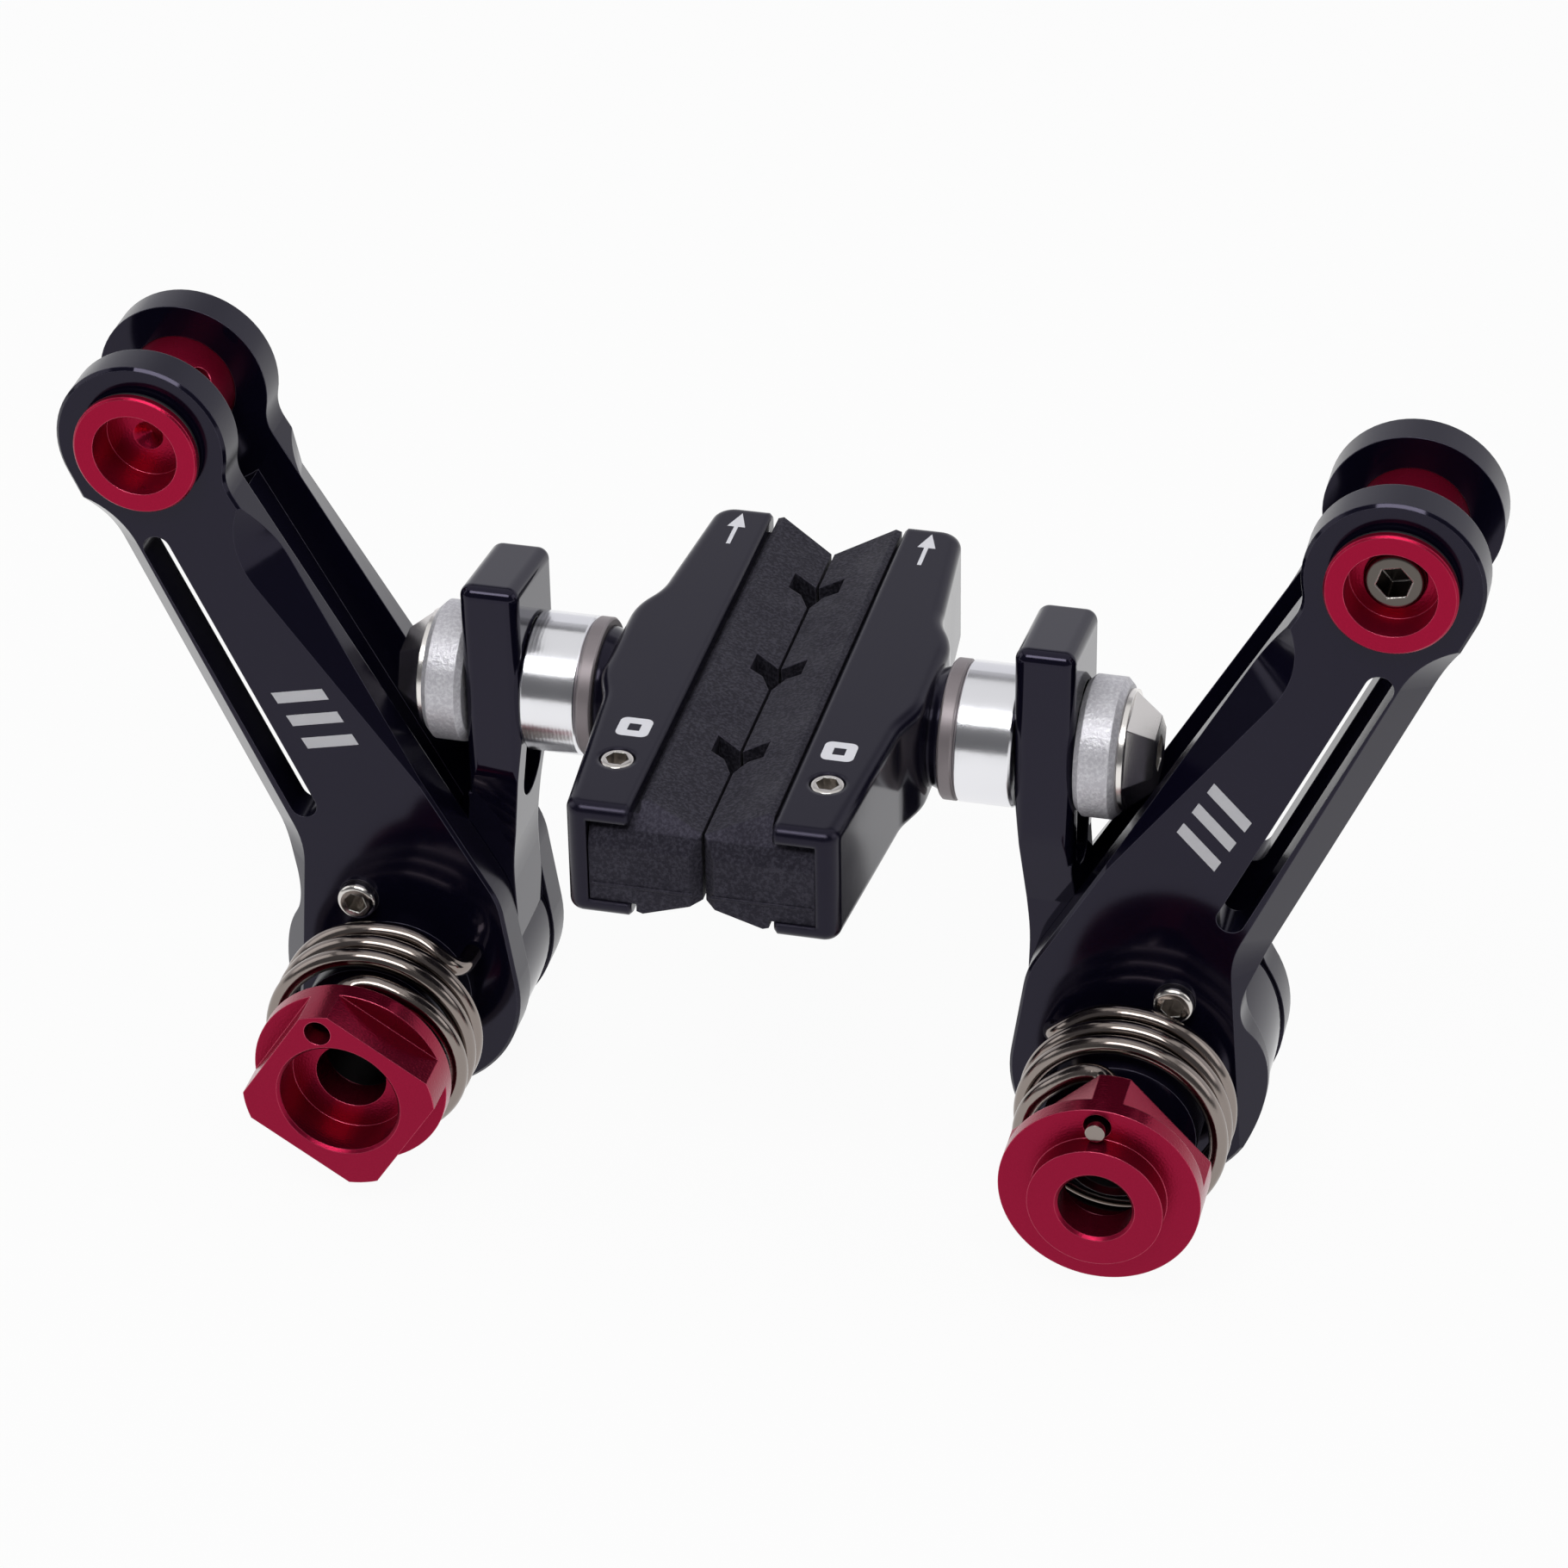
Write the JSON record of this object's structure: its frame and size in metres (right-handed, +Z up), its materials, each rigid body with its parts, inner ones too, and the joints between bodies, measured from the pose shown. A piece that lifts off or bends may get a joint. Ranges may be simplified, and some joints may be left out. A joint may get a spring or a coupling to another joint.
{
  "type": "cantilever brake",
  "caption": "Pair of bicycle cantilever brake arms with slotted pad arms, cartridge pads on clamped studs, return springs, tension nuts and swivelling cable barrels.",
  "frame": {"origin": "midway between the two pivot axes, level with the front face of the cable arms", "axes": "+X across the wheel to the right arm, +Y along the pivots towards the frame, +Z up"},
  "size_m": [0.138, 0.057, 0.0807],
  "materials": {
    "arm_black": "black anodised, glossy",
    "holder_black": "black, glossy",
    "red_anodised": "red anodised",
    "spring_steel": "nickel plated wire",
    "screw_steel": "plated steel",
    "sleeve_steel": "turned steel",
    "spacer_bright": "polished",
    "washer_matt": "satin",
    "washer_grey": "dull grey",
    "nut_bright": "bright plated",
    "pad_rubber": "fine matt",
    "ring_rubber": "smooth"
  },
  "bodies": {
    "frame_side": {"pivot_sleeve_left": "sleeve_steel", "pivot_sleeve_right": "sleeve_steel"},
    "arm_left": {"cable_arm_left": "arm_black", "pad_arm_left": "arm_black", "adjusting_screw_left": "screw_steel"},
    "barrel_left": {"cable_barrel_left": "red_anodised", "barrel_o_ring_left": "ring_rubber"},
    "tension_left": {"tension_nut_left": "red_anodised", "return_spring_left": "spring_steel"},
    "clamp_left": {"stud_washer_left": "washer_grey", "stud_spacer_left": "spacer_bright", "clamp_washer_left": "washer_matt", "stud_nut_left": "nut_bright"},
    "pad_left": {"pad_holder_left": "holder_black", "pad_insert_left": "pad_rubber", "insert_screw_left": "screw_steel", "pad_stud_left": "screw_steel"},
    "arm_right": {"cable_arm_right": "arm_black", "pad_arm_right": "arm_black", "adjusting_screw_right": "screw_steel"},
    "barrel_right": {"cable_barrel_right": "red_anodised", "barrel_o_ring_right": "ring_rubber", "cable_pinch_screw_right": "screw_steel"},
    "tension_right": {"tension_nut_right": "red_anodised", "return_spring_right": "spring_steel"},
    "clamp_right": {"stud_washer_right": "washer_grey", "stud_spacer_right": "spacer_bright", "clamp_washer_right": "washer_matt", "stud_nut_right": "nut_bright"},
    "pad_right": {"pad_holder_right": "holder_black", "pad_insert_right": "pad_rubber", "insert_screw_right": "screw_steel", "pad_stud_right": "screw_steel"}
  },
  "joints": [
    {"name": "arm_left_swing", "type": "hinge", "parent": "frame_side", "child": "arm_left", "pos_m": [-0.03775, 0, 0], "axis": [0, -1, 0], "range_deg": [0, 35], "stiffness_Nm_per_rad": 0.6},
    {"name": "barrel_left_turn", "type": "hinge", "parent": "arm_left", "child": "barrel_left", "pos_m": [-0.06046, 0.008, 0.05945], "axis": [0, 1, 0], "continuous": true},
    {"name": "tension_left_turn", "type": "hinge", "parent": "frame_side", "child": "tension_left", "pos_m": [-0.03775, -0.015, 0], "axis": [0, 1, 0], "range_deg": [-45, 45]},
    {"name": "pad_left_height", "type": "slide", "parent": "arm_left", "child": "clamp_left", "axis": [0, 0, 1], "range_m": [-0.001, 0.003]},
    {"name": "pad_left_tilt", "type": "hinge", "parent": "clamp_left", "child": "pad_left", "pos_m": [-0.02, 0.0089, 0.0327], "axis": [1, 0, 0], "range_deg": [-15, 15]},
    {"name": "arm_right_swing", "type": "hinge", "parent": "frame_side", "child": "arm_right", "pos_m": [0.03775, 0, 0], "axis": [0, 1, 0], "range_deg": [0, 35], "stiffness_Nm_per_rad": 0.6},
    {"name": "barrel_right_turn", "type": "hinge", "parent": "arm_right", "child": "barrel_right", "pos_m": [0.06046, 0.008, 0.05945], "axis": [0, 1, 0], "continuous": true},
    {"name": "tension_right_turn", "type": "hinge", "parent": "frame_side", "child": "tension_right", "pos_m": [0.03775, -0.015, 0], "axis": [0, 1, 0], "range_deg": [-45, 45]},
    {"name": "pad_right_height", "type": "slide", "parent": "arm_right", "child": "clamp_right", "axis": [0, 0, 1], "range_m": [-0.001, 0.003]},
    {"name": "pad_right_tilt", "type": "hinge", "parent": "clamp_right", "child": "pad_right", "pos_m": [0.02, 0.0089, 0.0327], "axis": [1, 0, 0], "range_deg": [-15, 15]}
  ]
}
